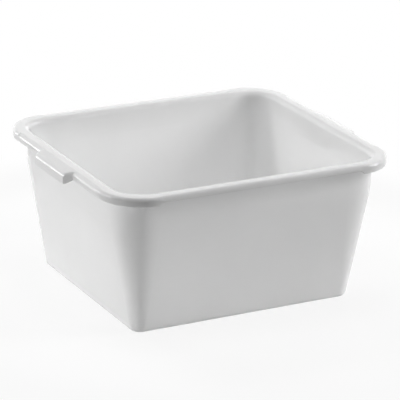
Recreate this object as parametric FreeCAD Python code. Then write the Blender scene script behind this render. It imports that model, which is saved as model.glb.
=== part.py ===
"""Washing up bowl: a deep rectangular basin with a rolled rim, corner skirts and two end grips."""
import FreeCAD
import Part
import math
import os

# Driving dimensions, in millimetres. X runs along the bowl, Z up, and the origin is under the middle of the base.

# Rim, seen from above
rim_length = 380.0
rim_width = 332.6
bowl_height = 182.5
rim_corner_radius = 53.0

# Rim, in section: an upside-down U that is open below
rim_reach = 19.4
rim_outer_rounding = 4.0
rim_inner_rounding = 6.9
rim_leg = 4.0
lip_depth = 7.0

# Skirts that deepen the lip at the four corners
skirt_drop = 3.8
skirt_run = 5.4

# Walls and floor
wall = 2.3
floor = 3.2
base_length = 293.4
base_width = 255.8
base_corner_radius = 13.6
base_edge_rounding = 4.5
inside_edge_rounding = 6.0
upright_height = 30.5
bend_height = 22.4

# Raised middle of the underside, which leaves a ring to stand on
foot_width = 14.0
foot_height = 1.2

# Grips on the two short sides
grip_reach = 9.3
grip_depth = 17.0
grip_rounding = 4.0
grip_end_rounding = 3.0
grip_root_length = 92.0
grip_front_length = 77.0
grip_root_depth = 10.7
grip_slope = 15.0

# One overrun serves every cut
overrun = 2.0

# Number of sections through each rounding and bend of the wall, and of arcs round each corner
rounding_sections = 6
corner_arcs = 4

half_length = rim_length / 2
half_width = rim_width / 2
joint_height = bowl_height - rim_inner_rounding - rim_leg
wall_reach = rim_reach - wall
bend_top = bowl_height - upright_height
bend_foot = bend_top - bend_height
UP = FreeCAD.Vector(0, 0, 1)


def rounded_rectangle(half_x, half_y, radius, z):
    """Closed wire of four lines and four quarter rounds, level at height z."""
    def on_corner(corner, share):
        angle = math.radians(90 * (corner + share))
        sx, sy = ((1, 1), (-1, 1), (-1, -1), (1, -1))[corner]
        centre = FreeCAD.Vector(sx * (half_x - radius), sy * (half_y - radius), z)
        return centre + FreeCAD.Vector(math.cos(angle), math.sin(angle), 0) * radius
    edges = []
    for corner in range(4):
        for arc in range(corner_arcs):
            bends = [on_corner(corner, (arc + share) / corner_arcs) for share in (0, 0.5, 1)]
            edges.append(Part.Arc(*bends).toShape())
        edges.append(Part.LineSegment(bends[-1], on_corner((corner + 1) % 4, 0)).toShape())
    return Part.Wire(edges)


def wall_travel(z):
    """Share of the wall's whole outward travel that is done at height z: straight, bending, then upright."""
    whole = bend_foot + bend_height / 2
    if z <= bend_foot:
        return z / whole
    if z >= bend_top:
        return 1.0
    climbed = (z - bend_foot) / bend_height
    return (bend_foot + bend_height * (climbed - climbed ** 2 / 2)) / whole


def wall_outline(z, inset):
    """Outline of the outer wall at height z, drawn in by inset."""
    travel = wall_travel(z)
    top_x = half_length - wall_reach
    top_y = half_width - wall_reach
    top_radius = rim_corner_radius - wall_reach
    half_x = base_length / 2 + (top_x - base_length / 2) * travel
    half_y = base_width / 2 + (top_y - base_width / 2) * travel
    radius = base_corner_radius + (top_radius - base_corner_radius) * travel
    return rounded_rectangle(half_x - inset, half_y - inset, radius - inset, z)


def wall_body(inset, low, high, edge_rounding):
    """Solid inside the wall's surface, from height low to height high, with its bottom edge rounded."""
    steps = [step / (rounding_sections - 1) for step in range(rounding_sections)]
    foot = low + edge_rounding
    foot_outlines = []
    for step in steps:
        angle = math.pi / 2 * step
        drawn_in = inset + edge_rounding * (1 - math.sin(angle))
        foot_outlines.append(wall_outline(foot - edge_rounding * math.cos(angle), drawn_in))
    rounded = Part.makeLoft(foot_outlines, True, False)
    sloping = Part.makeLoft([wall_outline(foot, inset), wall_outline(bend_foot, inset)], True, True)
    bending = Part.makeLoft([wall_outline(bend_foot + bend_height * step, inset) for step in steps], True, False)
    upright = Part.Face(wall_outline(bend_top, inset)).extrude(UP * (high - bend_top))
    return rounded.multiFuse([sloping, bending, upright]).removeSplitter()


def make_basin():
    """Floor and four walls, up to where the rim begins."""
    outside = wall_body(0, 0, joint_height, base_edge_rounding)
    inside = wall_body(wall, floor, joint_height + overrun, inside_edge_rounding)
    recess_outline = rounded_rectangle(
        base_length / 2 - foot_width, base_width / 2 - foot_width, base_corner_radius, -overrun)
    recess = Part.Face(recess_outline).extrude(UP * (foot_height + overrun))
    return outside.cut(inside).cut(recess)


def section_face(points_and_arcs, origin, outward):
    """Face from a closed list of (out, up) points; a point that follows a 3-tuple is the far end of an arc."""
    def place(out, up):
        return origin + outward * out + UP * up
    edges = []
    here = None
    through = None
    for item in points_and_arcs + points_and_arcs[:1]:
        spot = place(item[0], item[1])
        if len(item) == 3:
            through = spot
            continue
        if here is not None:
            piece = Part.Arc(here, through, spot) if through is not None else Part.LineSegment(here, spot)
            edges.append(piece.toShape())
        here = spot
        through = None
    return Part.Face(Part.Wire(edges))


def arc_middle(out, up, radius, start, end):
    """Point half way along an arc about (out, up); angles in degrees from outward towards up."""
    angle = math.radians((start + end) / 2)
    return (out + radius * math.cos(angle), up + radius * math.sin(angle), "through")


def rim_section(origin, outward):
    """Section of the rim: wall top, inner rounding, flat crown, outer rounding and lip, one wall thick.

    The hidden underside turns each rounding in two flats.
    """
    top = bowl_height
    inner_out = -rim_reach + rim_inner_rounding
    inner_up = top - rim_inner_rounding
    outer_out = -rim_outer_rounding
    outer_up = top - rim_outer_rounding
    inner_under = rim_inner_rounding - wall
    outer_under = rim_outer_rounding - wall
    return section_face([
        (-rim_reach, joint_height),
        (-rim_reach, inner_up),
        arc_middle(inner_out, inner_up, rim_inner_rounding, 180, 90),
        (inner_out, top),
        (outer_out, top),
        arc_middle(outer_out, outer_up, rim_outer_rounding, 90, 0),
        (0, outer_up),
        (0, top - lip_depth),
        (-wall, top - lip_depth),
        (-wall, outer_up),
        arc_middle(outer_out, outer_up, outer_under, 0, 90)[:2],
        (outer_out, top - wall),
        (inner_out, top - wall),
        arc_middle(inner_out, inner_up, inner_under, 90, 180)[:2],
        (-wall_reach, inner_up),
        (-wall_reach, joint_height),
    ], origin, outward)


def skirt_section(origin, outward):
    """Section of the strip that deepens the lip at a corner."""
    high = bowl_height - lip_depth
    low = high - skirt_drop
    return section_face([(0, low), (0, high), (-wall, high), (-wall, low)], origin, outward)


def skirt_taper(corner_x, side_y, along, inward):
    """Strip beside a corner on a long side, which tapers out into the lip."""
    high = bowl_height - lip_depth
    start = FreeCAD.Vector(corner_x, side_y, high)
    tip = start + FreeCAD.Vector(along * skirt_run, 0, 0)
    foot = start - UP * skirt_drop
    return Part.Face(Part.makePolygon([start, tip, foot, start])).extrude(inward * wall)


def make_rim():
    """Rolled rim all round, with a skirt at each corner and a notch where each grip springs from it."""
    straight_x = half_length - rim_corner_radius
    straight_y = half_width - rim_corner_radius
    pieces = []
    for sign in (1, -1):
        end_way = FreeCAD.Vector(sign, 0, 0)
        side_way = FreeCAD.Vector(0, sign, 0)
        end_start = FreeCAD.Vector(sign * half_length, -straight_y, 0)
        side_start = FreeCAD.Vector(-straight_x, sign * half_width, 0)
        pieces.append(rim_section(end_start, end_way).extrude(FreeCAD.Vector(0, 2 * straight_y, 0)))
        pieces.append(rim_section(side_start, side_way).extrude(FreeCAD.Vector(2 * straight_x, 0, 0)))
    for sx in (1, -1):
        for sy in (1, -1):
            centre = FreeCAD.Vector(sx * straight_x, sy * straight_y, 0)
            start = centre + FreeCAD.Vector(sx * rim_corner_radius, 0, 0)
            end_way = FreeCAD.Vector(sx, 0, 0)
            turn = 90 * sx * sy
            pieces.append(rim_section(start, end_way).revolve(centre, UP, turn))
            skirt = skirt_section(start, end_way)
            pieces.append(skirt.revolve(centre, UP, turn))
            pieces.append(skirt.extrude(FreeCAD.Vector(0, -sy * skirt_run, 0)))
            pieces.append(skirt_taper(sx * straight_x, sy * half_width, -sx, FreeCAD.Vector(0, -sy, 0)))
    rim = pieces[0].multiFuse(pieces[1:])
    notch_height = lip_depth + skirt_drop + overrun
    for sign in (1, -1):
        root = sign * (half_length - rim_outer_rounding)
        outer = sign * (half_length + overrun)
        corner = FreeCAD.Vector(min(root, outer), -grip_root_length / 2, bowl_height - lip_depth - skirt_drop)
        rim = rim.cut(Part.makeBox(rim_outer_rounding + overrun, grip_root_length, notch_height, corner))
    return rim.removeSplitter()


def grip_plan(inset, root_out):
    """Plan of a grip on the +X side, drawn in by inset: as wide as its root in the rim, narrower at its front."""
    slant = (grip_root_length - grip_front_length) / 2
    steepness = math.hypot(slant, grip_reach) / grip_reach
    root = grip_root_length / 2 - inset
    front = grip_front_length / 2 - inset * steepness + inset * slant / grip_reach
    knee = half_length + inset * (steepness - 1) * grip_reach / slant
    corners = [
        (half_length + root_out, root),
        (knee, root),
        (half_length + grip_reach - inset, front),
        (half_length + grip_reach - inset, -front),
        (knee, -root),
        (half_length + root_out, -root),
    ]
    points = [FreeCAD.Vector(x, y, 0) for x, y in corners]
    return Part.Face(Part.makePolygon(points + points[:1]))


def grip_prism(inset, root_out, low, high):
    """Upright prism over the grip's plan, with the two front edges rounded."""
    body = grip_plan(inset, root_out)
    body.translate(UP * low)
    body = body.extrude(UP * (high - low))
    upright_edges = [edge for edge in body.Edges if edge.BoundBox.ZLength > (high - low) / 2]
    upright_edges.sort(key=lambda edge: edge.CenterOfMass.x)
    return body.makeFillet(grip_end_rounding, upright_edges[-2:])


def make_grip():
    """Hollow grip on the +X side: sloping top, rounded edge, front and two ends, open below for the fingers."""
    slope = math.radians(grip_slope)
    root = -rim_outer_rounding
    centre_out = grip_reach - grip_rounding
    start_out = centre_out + grip_rounding * math.sin(slope)
    start_up = bowl_height - (start_out - root) * math.tan(slope)
    centre_up = start_up - grip_rounding * math.cos(slope)
    under = grip_rounding - wall
    low = bowl_height - grip_depth
    edge = arc_middle(centre_out, centre_up, grip_rounding, 90 - grip_slope, 0)
    under_edge = arc_middle(centre_out, centre_up, under, 90 - grip_slope, 0)
    under_root = bowl_height - wall / math.cos(slope)
    under_start = (centre_out + under * math.sin(slope), centre_up + under * math.cos(slope))
    origin = FreeCAD.Vector(half_length, -grip_root_length / 2, 0)
    along = FreeCAD.Vector(0, grip_root_length, 0)
    out_way = FreeCAD.Vector(1, 0, 0)
    filled = section_face([
        (root, bowl_height), (start_out, start_up), edge, (grip_reach, centre_up), (grip_reach, low),
        (0, bowl_height - grip_root_depth), (root, bowl_height - grip_root_depth),
    ], origin, out_way).extrude(along)
    hollow = section_face([
        (root - overrun, under_root + overrun * math.tan(slope)), under_start, under_edge,
        (grip_reach - wall, centre_up), (grip_reach - wall, low - overrun), (root - overrun, low - overrun),
    ], origin, out_way).extrude(along)
    outside = filled.common(grip_prism(0, root, low, bowl_height))
    inside = hollow.common(grip_prism(wall, root - overrun, low - overrun, bowl_height))
    return outside.cut(inside)


os.makedirs("parts", exist_ok=True)
make_basin().exportStep("parts/basin.step")
make_rim().exportStep("parts/rim.step")
grip = make_grip()
grip.exportStep("parts/grip_right.step")
grip.rotated(FreeCAD.Vector(0, 0, 0), UP, 180).exportStep("parts/grip_left.step")
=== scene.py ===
"""Washing up bowl in white plastic: one moulding with a rolled rim, corner skirts and two hand grips."""
import math

import bpy
from mathutils import Matrix, Vector


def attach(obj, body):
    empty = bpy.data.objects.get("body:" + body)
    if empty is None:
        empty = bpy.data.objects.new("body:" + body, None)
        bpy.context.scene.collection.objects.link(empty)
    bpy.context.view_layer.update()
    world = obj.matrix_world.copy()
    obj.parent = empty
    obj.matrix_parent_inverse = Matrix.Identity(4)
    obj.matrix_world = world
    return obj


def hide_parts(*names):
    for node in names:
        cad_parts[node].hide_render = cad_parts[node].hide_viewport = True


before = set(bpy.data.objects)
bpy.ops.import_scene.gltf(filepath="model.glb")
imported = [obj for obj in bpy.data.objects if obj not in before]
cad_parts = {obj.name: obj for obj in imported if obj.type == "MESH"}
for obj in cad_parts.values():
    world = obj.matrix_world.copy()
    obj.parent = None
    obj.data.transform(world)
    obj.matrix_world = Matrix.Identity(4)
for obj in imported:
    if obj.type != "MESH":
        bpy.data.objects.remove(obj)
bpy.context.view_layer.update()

MM = 0.001

# Sizes of the moulding in millimetres, as in the CAD model
RIM_X, RIM_Y, HEIGHT, RIM_RADIUS = 190.0, 166.3, 182.5, 53.0
RIM_REACH, INNER_ROUNDING, LIP_DEPTH = 19.4, 6.9, 7.0
SKIRT_DEPTH, SKIRT_RUN, SKIRT_ROUNDING = 10.8, 5.4, 4.0
WALL, FLOOR = 2.3, 3.2
BASE_X, BASE_Y, BASE_RADIUS = 146.7, 127.9, 13.6
BASE_ROUNDING, INSIDE_ROUNDING = 4.5, 6.0
UPRIGHT, BEND = 30.5, 22.4
FOOT_WIDTH, FOOT_HEIGHT = 14.0, 1.2
GRIP_REACH, GRIP_DEPTH, GRIP_ROOT_DEPTH = 9.3, 17.0, 10.7
GRIP_ROOT, GRIP_FRONT, GRIP_SLOPE = 46.0, 38.5, math.radians(15)
GRIP_FRONT_ROUNDING = 3.0

# Sizes that only the scene has, in millimetres: the softer lip, small edges and steps, the easing of the
# wall corners and the bow of the walls. Its lip on the short sides is as deep as the root of the grips.
LIP_ROUNDING, LIP_EDGE_INSIDE, LIP_EDGE_OUTSIDE = 6.0, 0.5, 0.8
SKIRT_STEP, FOOT_STEP, FOOT_EDGE = 0.4, 0.5, 0.5
GRIP_ROOT_ROUNDING, SLOPE_RUN = 1.5, 2.0
CREASE_OFFSET, CREASE_RUN = 0.9, 0.8
CORNER_EASE, WALL_BOW = 10.0, 2.0

WALL_REACH = RIM_REACH - WALL
CROWN_END = RIM_REACH - INNER_ROUNDING
STRAIGHT_X = RIM_X - RIM_RADIUS
STRAIGHT_Y = RIM_Y - RIM_RADIUS
BEND_TOP = HEIGHT - UPRIGHT
BEND_FOOT = BEND_TOP - BEND

# Numbers of steps round the plan corners, up the wall and round its foot and bend
CORNER_STEPS, WALL_STEPS, FOOT_STEPS, BEND_STEPS = 24, 8, 8, 12

# Turn in radians below which a corner counts as straight
STRAIGHT_TURN = 0.01

# Studio sizes in metres
TABLE_RADIUS, TABLE_FADE, LIGHT_DISTANCE = 0.42, 0.1, 2.5

# Grey of the floor under the lamps and its share of plain white to the eye, on the table top and beyond
TABLE_GREY, FAR_GREY = 0.85, 0.02
TABLE_WHITE, FAR_WHITE = 0.85, 1.0

# Light from all round, and the heights in degrees between which the white fades to a dark ceiling
AMBIENT = 0.02
CEILING_FROM, CEILING_FULL = 5, 50

# Softboxes: name, azimuth and elevation in degrees, width and height in metres, watts, shown in the gloss
SOFTBOXES = (
    ("key_right", 335, 27, (1.0, 1.0), 30, True),
    ("key_low", 335, 15, (0.8, 0.8), 12, True),
    ("overhead", 0, 88, (0.8, 0.8), 13, False),
    ("fill_left", 167, 9, (0.7, 0.7), 20, True),
    ("high_left", 165, 45, (0.8, 0.8), 5, False),
    ("strip_back_left", 123, 0, (0.6, 0.17), 6, True),
    ("high_back_left", 115, 48, (0.8, 0.8), 22, False),
    ("low_back", 90, 9, (0.7, 0.7), 13, False),
    ("back_right", 45, 25, (0.8, 0.8), 12, False),
    ("faint_front", 240, 25, (0.7, 0.7), 1.2, True),
)


def rounded_corner(before, corner, after, steps, radius=0.0, run=0.0):
    """Points round a corner between two straight runs, from its radius or from the run it takes of each."""
    before, corner, after = Vector(before), Vector(corner), Vector(after)
    into = (corner - before).normalized()
    onward = (after - corner).normalized()
    turn = into.angle(onward)
    if turn < STRAIGHT_TURN:
        shares = [2 * step / steps - 1 for step in range(steps + 1)]
        return [corner + (into if share < 0 else onward) * run * share for share in shares]
    run = run or radius * math.tan(turn / 2)
    radius = run / math.tan(turn / 2)
    side = (onward - into * math.cos(turn)) / math.sin(turn)
    points = []
    for step in range(steps + 1):
        angle = turn * step / steps
        along, across = radius * math.sin(angle) - run, radius * (1 - math.cos(angle))
        points.append(corner + into * along + side * across)
    return points


# Stations round the rim

def grip_half_plan():
    """Pairs (distance from the grip's middle, reach) from outside the grip to its middle."""
    outside, root = (STRAIGHT_Y, 0), (GRIP_ROOT, 0)
    front, middle = (GRIP_FRONT, GRIP_REACH), (0, GRIP_REACH)
    plan = rounded_corner(outside, root, front, steps=4, radius=GRIP_ROOT_ROUNDING)
    plan += rounded_corner(root, front, middle, steps=6, radius=GRIP_FRONT_ROUNDING)
    return plan + [Vector((GRIP_FRONT * share, GRIP_REACH)) for share in (0.75, 0.5, 0.25, 0)]


def end_half():
    """Half a short side, corner to middle: (distance from the middle, reach, lip depth, rounding)."""
    step_at = STRAIGHT_Y - SKIRT_RUN
    half = [(step_at + ahead, 0, SKIRT_DEPTH, SKIRT_ROUNDING) for ahead in (2.5, SKIRT_STEP)]
    for share in (1, 0.85, 0.65, 0.45, 0.25, 0.1):
        half.append((GRIP_ROOT + (step_at - GRIP_ROOT) * share, 0, GRIP_ROOT_DEPTH, LIP_ROUNDING))
    for along, reach in grip_half_plan():
        lip = GRIP_ROOT_DEPTH + (GRIP_DEPTH - GRIP_ROOT_DEPTH) * reach / GRIP_REACH
        half.append((along, reach, lip, LIP_ROUNDING))
    return half


def side_half():
    """Half a long side, corner to middle: (distance from the middle, reach, lip depth, rounding)."""
    half = []
    for share in (0.25, 0.5, 0.75, 1):
        lip = SKIRT_DEPTH + (LIP_DEPTH - SKIRT_DEPTH) * share
        rounding = SKIRT_ROUNDING + (LIP_ROUNDING - SKIRT_ROUNDING) * share
        half.append((STRAIGHT_X - SKIRT_RUN * share, 0, lip, rounding))
    for share in (0.9, 0.75, 0.6, 0.45, 0.3, 0.15, 0):
        half.append(((STRAIGHT_X - SKIRT_RUN) * share, 0, LIP_DEPTH, LIP_ROUNDING))
    return half


def make_stations():
    """Stations once round, anticlockwise from the corner at +X, +Y.

    Each has its place along the straight sides, as shares of their halves, its outward direction,
    the reach of the grip there, the depth of the lip below the crown and the rounding over it.
    """
    stations = []
    for quarter, (sx, sy) in enumerate(((1, 1), (-1, 1), (-1, -1), (1, -1))):
        for step in range(CORNER_STEPS + 1):
            angle = math.radians(90 * (quarter + step / CORNER_STEPS))
            stations.append((sx, sy, math.cos(angle), math.sin(angle), 0, SKIRT_DEPTH, SKIRT_ROUNDING))
        half = side_half() if quarter % 2 == 0 else end_half()
        whole = half + [(-along, *shape) for along, *shape in reversed(half[:-1])]
        for along, *shape in whole:
            if quarter % 2 == 0:
                stations.append((sx * along / STRAIGHT_X, sy, 0, sy, *shape))
            else:
                stations.append((sx, sy * along / STRAIGHT_Y, sx, 0, *shape))
    return stations


STATIONS = make_stations()


def corner_spot(share, radius, ease):
    """Distances in from the square corner, a share of the way round a turn that eases in early.

    The middle of the turn is that of a plain arc of the radius.
    """
    reach = radius + ease
    near = reach - (4 * reach - 8 * (1 - math.sqrt(0.5)) * radius) / 3
    rest = 1 - share
    in_x = 3 * rest * share ** 2 * near + share ** 3 * reach
    in_y = 3 * share * rest ** 2 * near + rest ** 3 * reach
    return in_x, in_y


def spot(station, half_x, half_y, radius, ease=0.0, bow=0.0):
    """Point of a rounded rectangle at a station. The sides may bow inwards between the corners."""
    kx, ky, nx, ny = station[:4]
    in_x, in_y = corner_spot(math.atan2(abs(ny), abs(nx)) / (math.pi / 2), radius, ease)
    x = kx * (half_x - in_x) - nx * bow * (1 - ky ** 2)
    y = ky * (half_y - in_y) - ny * bow * (1 - kx ** 2)
    return x, y


def ring(half_x, half_y, radius, height, ease=0.0, bow=0.0):
    """A level ring of points, one at each station."""
    return [(*spot(station, half_x, half_y, radius, ease, bow), height) for station in STATIONS]


def wall_travel(height):
    """Share of the wall's outward travel that is done at a height: straight, bending, then upright."""
    whole = BEND_FOOT + BEND / 2
    if height <= BEND_FOOT:
        return height / whole
    climbed = min((height - BEND_FOOT) / BEND, 1)
    return (BEND_FOOT + BEND * (climbed - climbed ** 2 / 2)) / whole


def wall_ring(height, inset):
    """Ring on the outer wall at a height, drawn in by inset."""
    travel = wall_travel(height)
    half_x = BASE_X + (RIM_X - WALL_REACH - BASE_X) * travel
    half_y = BASE_Y + (RIM_Y - WALL_REACH - BASE_Y) * travel
    radius = BASE_RADIUS + (RIM_RADIUS - WALL_REACH - BASE_RADIUS) * travel
    climbed = height / BEND_TOP
    bow = WALL_BOW * 4 * climbed * (1 - climbed)
    ease = CORNER_EASE * min(climbed, 1)
    return ring(half_x - inset, half_y - inset, radius - inset, height, ease, bow)


def wall_rings(low, inset, rounding):
    """Rings from the foot of the wall to the top of its bend, with the foot rounded."""
    rings = []
    for step in range(FOOT_STEPS + 1):
        angle = math.pi / 2 * step / FOOT_STEPS
        height = low + rounding * (1 - math.cos(angle))
        rings.append(wall_ring(height, inset + rounding * (1 - math.sin(angle))))
    foot = low + rounding
    for step in range(1, WALL_STEPS + 1):
        rings.append(wall_ring(foot + (BEND_FOOT - foot) * step / WALL_STEPS, inset))
    for step in range(1, BEND_STEPS + 1):
        rings.append(wall_ring(BEND_FOOT + BEND * step / BEND_STEPS, inset))
    return rings


def rim_section(reach, lip, rounding):
    """Points (out, height) from the outer wall, round the rim, to the inner wall."""
    slope = GRIP_SLOPE * min(reach / SLOPE_RUN, 1)
    fall = math.tan(slope)
    crease = min(reach, LIP_ROUNDING - SKIRT_ROUNDING) - rounding - CREASE_OFFSET
    crown = (crease, HEIGHT)
    edge = (reach, HEIGHT - (reach - crease) * fall)
    low_out, low_in = (reach, HEIGHT - lip), (reach - WALL, HEIGHT - lip)
    under = HEIGHT - WALL / math.cos(slope)
    under_crown = (crease - WALL * math.tan(slope / 2), HEIGHT - WALL)
    under_edge = (reach - WALL, under - (reach - WALL - crease) * fall)
    wall_foot, wall_top = (-WALL_REACH, BEND_TOP), (-WALL_REACH, HEIGHT - WALL)
    inner_top, inner_foot = (-RIM_REACH, HEIGHT), (-RIM_REACH, BEND_TOP)
    points = [(-WALL_REACH, BEND_TOP + (HEIGHT - WALL - BEND_TOP) * share) for share in (0.3, 0.6)]
    points += rounded_corner(wall_foot, wall_top, under_crown, steps=6, radius=INNER_ROUNDING - WALL)
    points += rounded_corner(wall_top, under_crown, under_edge, steps=2, run=CREASE_RUN)
    points += rounded_corner(under_crown, under_edge, low_in, steps=5, radius=rounding - WALL)
    points += rounded_corner(under_edge, low_in, low_out, steps=3, radius=LIP_EDGE_INSIDE)
    points += rounded_corner(low_in, low_out, edge, steps=4, radius=LIP_EDGE_OUTSIDE)
    points += rounded_corner(low_out, edge, crown, steps=10, radius=rounding)
    points += rounded_corner(edge, crown, inner_top, steps=4, run=CREASE_RUN)
    points += rounded_corner(crown, inner_top, inner_foot, steps=14, radius=INNER_ROUNDING)
    upright = HEIGHT - INNER_ROUNDING - BEND_TOP
    points += [(-RIM_REACH, BEND_TOP + upright * share) for share in (0.66, 0.33)]
    return points


def rim_rings():
    """Rings round the rim, where the section follows the grips and skirts."""
    columns = []
    for station in STATIONS:
        column = []
        for out, height in rim_section(*station[4:]):
            ease = CORNER_EASE * min(max((-out - CROWN_END) / (WALL_REACH - CROWN_END), 0), 1)
            column.append((*spot(station, RIM_X + out, RIM_Y + out, RIM_RADIUS + out, ease), height))
        columns.append(column)
    return [list(level) for level in zip(*columns)]


def shrunk(level, share, height):
    """A ring drawn in towards the middle axis and set at a height."""
    return [(point[0] * share, point[1] * share, height) for point in level]


def underside_rings():
    """Rings from the middle of the underside, over the step of the standing ring, to the wall."""
    half_x, half_y = BASE_X - FOOT_WIDTH, BASE_Y - FOOT_WIDTH
    rings = []
    inside, top = (-FOOT_WIDTH, FOOT_HEIGHT), (0, FOOT_HEIGHT)
    bottom, outside = (FOOT_STEP, 0), (FOOT_WIDTH, 0)
    section = rounded_corner(inside, top, bottom, steps=3, radius=FOOT_EDGE)
    section += rounded_corner(top, bottom, outside, steps=3, radius=FOOT_EDGE)
    for out, height in section:
        rings.append(ring(half_x + out, half_y + out, BASE_RADIUS + out, height))
    inner = [shrunk(rings[0], share, FOOT_HEIGHT) for share in (0.3, 0.6, 0.9)]
    return inner + rings


def make_bowl():
    """The whole moulding as one closed skin."""
    outside = underside_rings() + wall_rings(0, 0, BASE_ROUNDING)
    inside = list(reversed(wall_rings(FLOOR, WALL, INSIDE_ROUNDING)))
    floor = [shrunk(inside[-1], share, FLOOR) for share in (0.95, 0.6, 0.3)]
    rings = outside + rim_rings() + inside + floor
    count = len(STATIONS)
    points = [Vector(point) * MM for level in rings for point in level]
    points += [Vector((0, 0, FOOT_HEIGHT)) * MM, Vector((0, 0, FLOOR)) * MM]
    under_pole, floor_pole = len(points) - 2, len(points) - 1
    faces = []
    for level in range(len(rings) - 1):
        for index in range(count):
            after = (index + 1) % count
            low, high = level * count, (level + 1) * count
            faces.append((low + index, low + after, high + after, high + index))
    last = (len(rings) - 1) * count
    for index in range(count):
        after = (index + 1) % count
        faces.append((under_pole, after, index))
        faces.append((floor_pole, last + index, last + after))
    mesh = bpy.data.meshes.new("bowl")
    mesh.from_pydata(points, [], faces)
    mesh.polygons.foreach_set("use_smooth", [True] * len(faces))
    mesh.set_sharp_from_angle(angle=math.radians(45))
    bowl = bpy.data.objects.new("bowl", mesh)
    bpy.context.scene.collection.objects.link(bowl)
    weighted = bowl.modifiers.new("even_normals", "WEIGHTED_NORMAL")
    weighted.keep_sharp = True
    return bowl


def make_plastic():
    """Glossy white polypropylene with faint flow clouding, a fine moulded grain and uneven gloss."""
    material = bpy.data.materials.new("white_polypropylene")
    material.use_nodes = True
    nodes, links = material.node_tree.nodes, material.node_tree.links
    shader = nodes["Principled BSDF"]
    shader.inputs["IOR"].default_value = 1.49
    shader.inputs["Subsurface Weight"].default_value = 0.6
    shader.inputs["Subsurface Radius"].default_value = (1, 1, 1)
    shader.inputs["Subsurface Scale"].default_value = 0.009
    place = nodes.new("ShaderNodeTexCoord")

    def noise(scale, detail):
        texture = nodes.new("ShaderNodeTexNoise")
        texture.inputs["Scale"].default_value = scale
        texture.inputs["Detail"].default_value = detail
        links.new(place.outputs["Object"], texture.inputs["Vector"])
        return texture.outputs["Fac"]

    def ramp(source, low, high):
        scale = nodes.new("ShaderNodeMapRange")
        scale.inputs["From Min"].default_value = 0.3
        scale.inputs["From Max"].default_value = 0.7
        scale.inputs["To Min"].default_value = low
        scale.inputs["To Max"].default_value = high
        links.new(source, scale.inputs["Value"])
        return scale.outputs["Result"]

    clouding = nodes.new("ShaderNodeMix")
    clouding.data_type = "RGBA"
    clouding.inputs["A"].default_value = (0.88, 0.88, 0.88, 1)
    clouding.inputs["B"].default_value = (0.90, 0.90, 0.90, 1)
    links.new(ramp(noise(scale=14, detail=3), low=0, high=1), clouding.inputs["Factor"])
    links.new(clouding.outputs["Result"], shader.inputs["Base Color"])
    links.new(ramp(noise(scale=60, detail=4), low=0.12, high=0.17), shader.inputs["Roughness"])
    grain = nodes.new("ShaderNodeBump")
    grain.inputs["Strength"].default_value = 0.03
    grain.inputs["Distance"].default_value = 0.0002
    links.new(noise(scale=1600, detail=2), grain.inputs["Height"])
    links.new(grain.outputs["Normal"], shader.inputs["Normal"])
    return material


bowl = make_bowl()
bowl.data.materials.append(make_plastic())
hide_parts("basin", "rim", "grip_left", "grip_right")
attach(bowl, "root")


# Studio: a white table top that keeps a soft shadow, pale surroundings and soft lights

def seen_directly(nodes, links):
    """1 for rays from the camera, and for mirrored or transmitted ones, otherwise 0."""
    ray = nodes.new("ShaderNodeLightPath")
    total = ray.outputs["Is Camera Ray"]
    for kind in ("Is Glossy Ray", "Is Transmission Ray"):
        add = nodes.new("ShaderNodeMath")
        add.operation = "ADD"
        add.use_clamp = True
        links.new(total, add.inputs[0])
        links.new(ray.outputs[kind], add.inputs[1])
        total = add.outputs["Value"]
    return total


def make_floor():
    """Floor seen as white, with some shade on a round table top. Beyond it the floor throws little light."""
    bpy.ops.mesh.primitive_plane_add(size=12)
    floor = bpy.context.object
    floor.name = "floor"
    material = bpy.data.materials.new("studio_white")
    material.use_nodes = True
    nodes, links = material.node_tree.nodes, material.node_tree.links
    nodes.remove(nodes["Principled BSDF"])
    place = nodes.new("ShaderNodeTexCoord")
    away = nodes.new("ShaderNodeVectorMath")
    away.operation = "LENGTH"
    links.new(place.outputs["Object"], away.inputs[0])

    def by_distance(near, far):
        level = nodes.new("ShaderNodeMapRange")
        level.interpolation_type = "SMOOTHSTEP"
        level.inputs["From Min"].default_value = TABLE_RADIUS - TABLE_FADE
        level.inputs["From Max"].default_value = TABLE_RADIUS + TABLE_FADE
        level.inputs["To Min"].default_value = near
        level.inputs["To Max"].default_value = far
        links.new(away.outputs["Value"], level.inputs["Value"])
        return level.outputs["Result"]

    lit = nodes.new("ShaderNodeBsdfDiffuse")
    links.new(by_distance(TABLE_GREY, FAR_GREY), lit.inputs["Color"])
    white = nodes.new("ShaderNodeEmission")
    share = nodes.new("ShaderNodeMath")
    share.operation = "MULTIPLY"
    links.new(seen_directly(nodes, links), share.inputs[0])
    links.new(by_distance(TABLE_WHITE, FAR_WHITE), share.inputs[1])
    blend = nodes.new("ShaderNodeMixShader")
    links.new(share.outputs["Value"], blend.inputs["Fac"])
    links.new(lit.outputs["BSDF"], blend.inputs[1])
    links.new(white.outputs["Emission"], blend.inputs[2])
    links.new(blend.outputs["Shader"], nodes["Material Output"].inputs["Surface"])
    floor.data.materials.append(material)


def make_softbox(name, azimuth, elevation, size, power, mirrored):
    """Soft light that faces the bowl from a direction, anticlockwise from +X and up, in degrees.

    One that isn't mirrored lights the bowl without showing in its gloss.
    """
    azimuth, elevation = math.radians(azimuth), math.radians(elevation)
    outward = Vector((math.cos(azimuth) * math.cos(elevation), math.sin(azimuth) * math.cos(elevation),
                      math.sin(elevation)))
    light = bpy.data.lights.new(name, "AREA")
    light.shape = "RECTANGLE"
    light.size, light.size_y = size
    light.energy = power
    softbox = bpy.data.objects.new(name, light)
    softbox.location = outward * LIGHT_DISTANCE + Vector((0, 0, HEIGHT / 2 * MM))
    softbox.rotation_euler = (-outward).to_track_quat("-Z", "Y").to_euler()
    softbox.visible_camera = False
    softbox.visible_glossy = mirrored
    bpy.context.scene.collection.objects.link(softbox)


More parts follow.
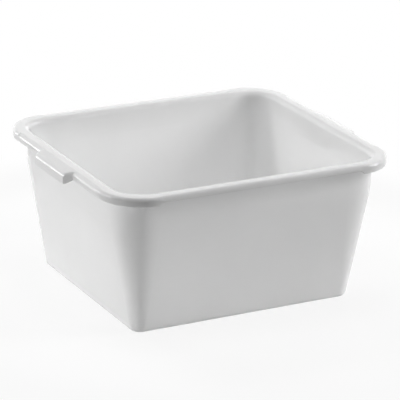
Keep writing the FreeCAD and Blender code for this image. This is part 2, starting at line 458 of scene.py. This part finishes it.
def make_world(strength):
    """Faint even light from all round, seen as white up to a dark ceiling."""
    world = bpy.data.worlds.new("studio")
    bpy.context.scene.world = world
    world.use_nodes = True
    nodes, links = world.node_tree.nodes, world.node_tree.links
    place = nodes.new("ShaderNodeTexCoord")
    direction = nodes.new("ShaderNodeSeparateXYZ")
    links.new(place.outputs["Generated"], direction.inputs["Vector"])
    white = nodes.new("ShaderNodeMapRange")
    white.interpolation_type = "SMOOTHSTEP"
    white.inputs["From Min"].default_value = math.sin(math.radians(CEILING_FROM))
    white.inputs["From Max"].default_value = math.sin(math.radians(CEILING_FULL))
    white.inputs["To Min"].default_value = 1.0
    white.inputs["To Max"].default_value = strength
    links.new(direction.outputs["Z"], white.inputs["Value"])
    level = nodes.new("ShaderNodeMapRange")
    level.inputs["To Min"].default_value = strength
    links.new(white.outputs["Result"], level.inputs["To Max"])
    links.new(seen_directly(nodes, links), level.inputs["Value"])
    nodes["Background"].inputs["Color"].default_value = (1, 1, 1, 1)
    links.new(level.outputs["Result"], nodes["Background"].inputs["Strength"])


make_floor()
make_world(AMBIENT)
for softbox in SOFTBOXES:
    make_softbox(*softbox)


# Camera at the photograph's viewing angle

def make_camera():
    """Long lens, turned and rolled as the photograph was taken."""
    azimuth, elevation, roll = math.radians(-28.61), math.radians(20.0), math.radians(1.6)
    distance, shift_right, shift_up = 3160.62, -7.25, -97.49
    focal_px, picture_px = 2548.17, 400
    back = Vector((math.sin(azimuth) * math.cos(elevation), -math.cos(azimuth) * math.cos(elevation),
                   math.sin(elevation)))
    level = Vector((math.cos(azimuth), math.sin(azimuth), 0))
    upward = back.cross(level)
    right = level * math.cos(roll) + upward * math.sin(roll)
    up = upward * math.cos(roll) - level * math.sin(roll)
    place = (back * distance - right * shift_right - up * shift_up) * MM
    data = bpy.data.cameras.new("camera")
    data.sensor_width = 36.0
    data.lens = focal_px / picture_px * data.sensor_width
    camera = bpy.data.objects.new("camera", data)
    turned = Matrix((right, up, back)).transposed().to_4x4()
    camera.matrix_world = Matrix.Translation(place) @ turned
    bpy.context.scene.collection.objects.link(camera)
    bpy.context.scene.camera = camera


make_camera()
bpy.context.scene.view_settings.view_transform = "Standard"
